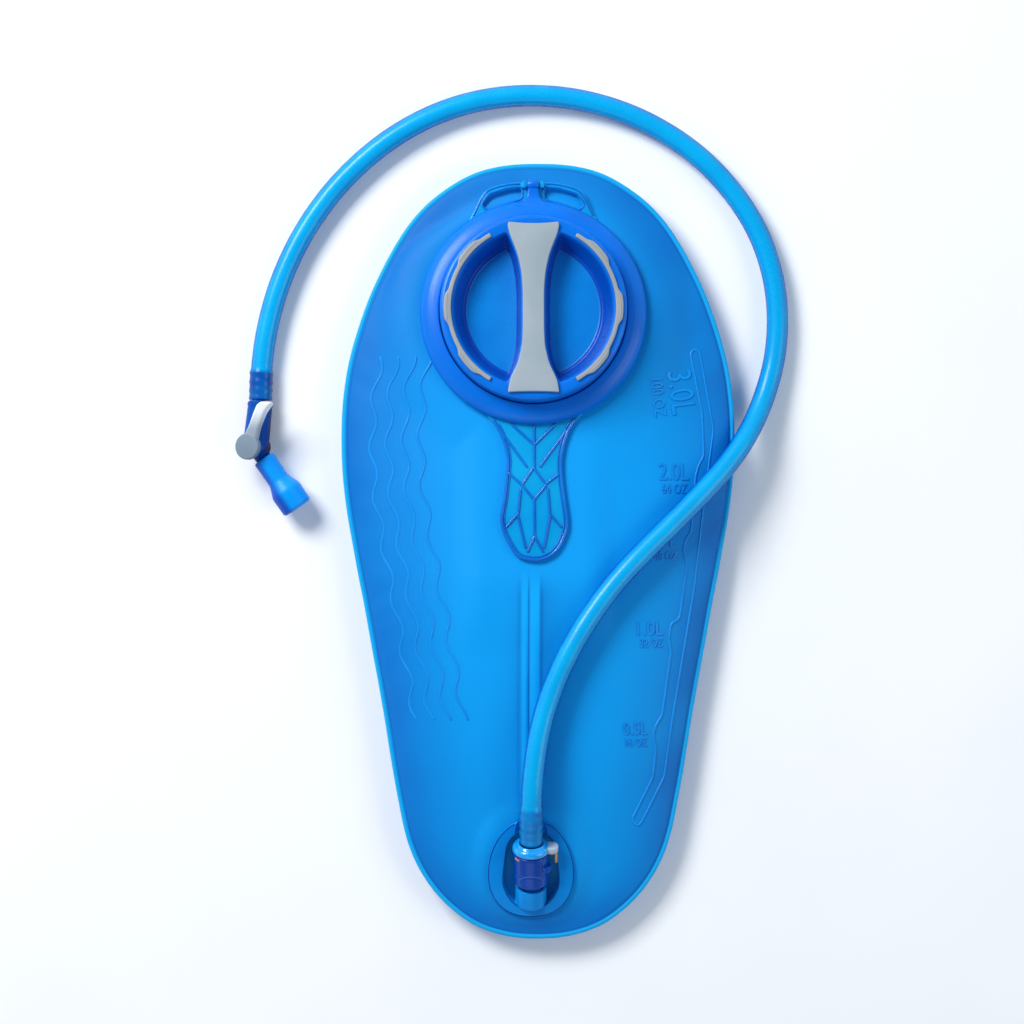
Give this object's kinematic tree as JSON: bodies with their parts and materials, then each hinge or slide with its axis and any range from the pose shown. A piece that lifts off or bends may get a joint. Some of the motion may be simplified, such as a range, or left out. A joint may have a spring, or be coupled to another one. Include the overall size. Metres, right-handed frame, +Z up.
{
  "type": "hydration bladder",
  "caption": "Flat pear-shaped drinking bag with a wide leashed screw cap, hang loop, quick-release hose, shut-off lever and bite valve, for carrying water in a backpack.",
  "frame": {"origin": "on the surface the bag lies on, under the middle of the bag", "axes": "+Y towards the filling end, +Z up through the cap side, +X to the right when the cap faces the viewer"},
  "size_m": [0.3087, 0.4775, 0.05],
  "materials": {
    "film_front": "translucent satin film",
    "film_back": "translucent satin film",
    "port_clear": "clear glossy",
    "neck_blue": "clear glossy",
    "cap_blue": "translucent glossy",
    "leash_blue": "glossy",
    "grip_grey": "matt soft touch",
    "seal_white": "matt",
    "plug_blue": "translucent glossy",
    "collar_cyan": "clear glossy",
    "button_grey": "satin",
    "ring_red": "matt",
    "steel": "bright wire",
    "valve_white": "satin",
    "hose_blue": "clear glossy tube",
    "lock_navy": "glossy",
    "lever_grey": "satin",
    "ring_black": "matt",
    "bite_blue": "satin silicone"
  },
  "bodies": {
    "bag": {"front_film": "film_front", "back_film": "film_back", "center_baffle": "film_back", "port_base": "port_clear", "port_neck": "neck_blue", "exit_port_base": "port_clear", "poppet_spring": "steel"},
    "leash": {"cap_tether": "leash_blue"},
    "cap_carrier": {"cap_seal": "seal_white"},
    "cap": {"cap_shell": "cap_blue", "handle_grip": "grip_grey", "rim_grip_left": "grip_grey", "rim_grip_right": "grip_grey"},
    "drink_tube": {"quick_link_plug": "plug_blue", "plug_o_ring": "ring_red", "plug_collar": "collar_cyan", "button_spring": "steel", "hose": "hose_blue", "lock_body": "lock_navy"},
    "poppet": {"shutoff_poppet": "valve_white"},
    "button": {"release_button": "button_grey"},
    "lever": {"lock_lever": "lever_grey", "lock_barrel": "valve_white", "barrel_o_ring_lower": "ring_black", "barrel_o_ring_upper": "ring_black"},
    "bite": {"bite_valve": "bite_blue"}
  },
  "joints": [
    {"name": "cap_leash_swing", "type": "hinge", "parent": "bag", "child": "leash", "pos_m": [-0.0028, 0.20402, 0.02116], "axis": [-1, 0, 0], "range_deg": [0, 140]},
    {"name": "cap_rise", "type": "slide", "parent": "leash", "child": "cap_carrier", "axis": [0, 0.0872, 0.9962], "range_m": [0, 0.0031]},
    {"name": "cap_turn", "type": "hinge", "parent": "cap_carrier", "child": "cap", "pos_m": [-0.0028, 0.1326, 0.024], "axis": [0, 0.0872, 0.9962], "range_deg": [0, 90]},
    {"name": "tube_release", "type": "slide", "parent": "bag", "child": "drink_tube", "axis": [0, 0.9063, 0.4226], "range_m": [0, 0.02]},
    {"name": "poppet_slide", "type": "slide", "parent": "bag", "child": "poppet", "axis": [0, 0.9063, 0.4226], "range_m": [0, 0.0021], "deforming": ["poppet_spring"]},
    {"name": "button_press", "type": "slide", "parent": "drink_tube", "child": "button", "axis": [-1, 0, 0], "range_m": [0, 0.0015], "stiffness_N_per_m": 300, "deforming": ["button_spring"]},
    {"name": "lever_turn", "type": "hinge", "parent": "drink_tube", "child": "lever", "pos_m": [-0.1579, 0.0588, 0.0099], "axis": [0.3746, 0, -0.9272], "range_deg": [0, 90]},
    {"name": "bite_swivel", "type": "hinge", "parent": "drink_tube", "child": "bite", "pos_m": [-0.1579, 0.0588, 0.0099], "axis": [0.566, -0.8244, 0], "range_deg": [-180, 180]}
  ],
  "couplings": [
    {"joint": "cap_rise", "follows": "cap_turn", "m_per_rad": 0.0019098},
    {"joint": "poppet_slide", "follows": "tube_release", "ratio": 0.1}
  ]
}
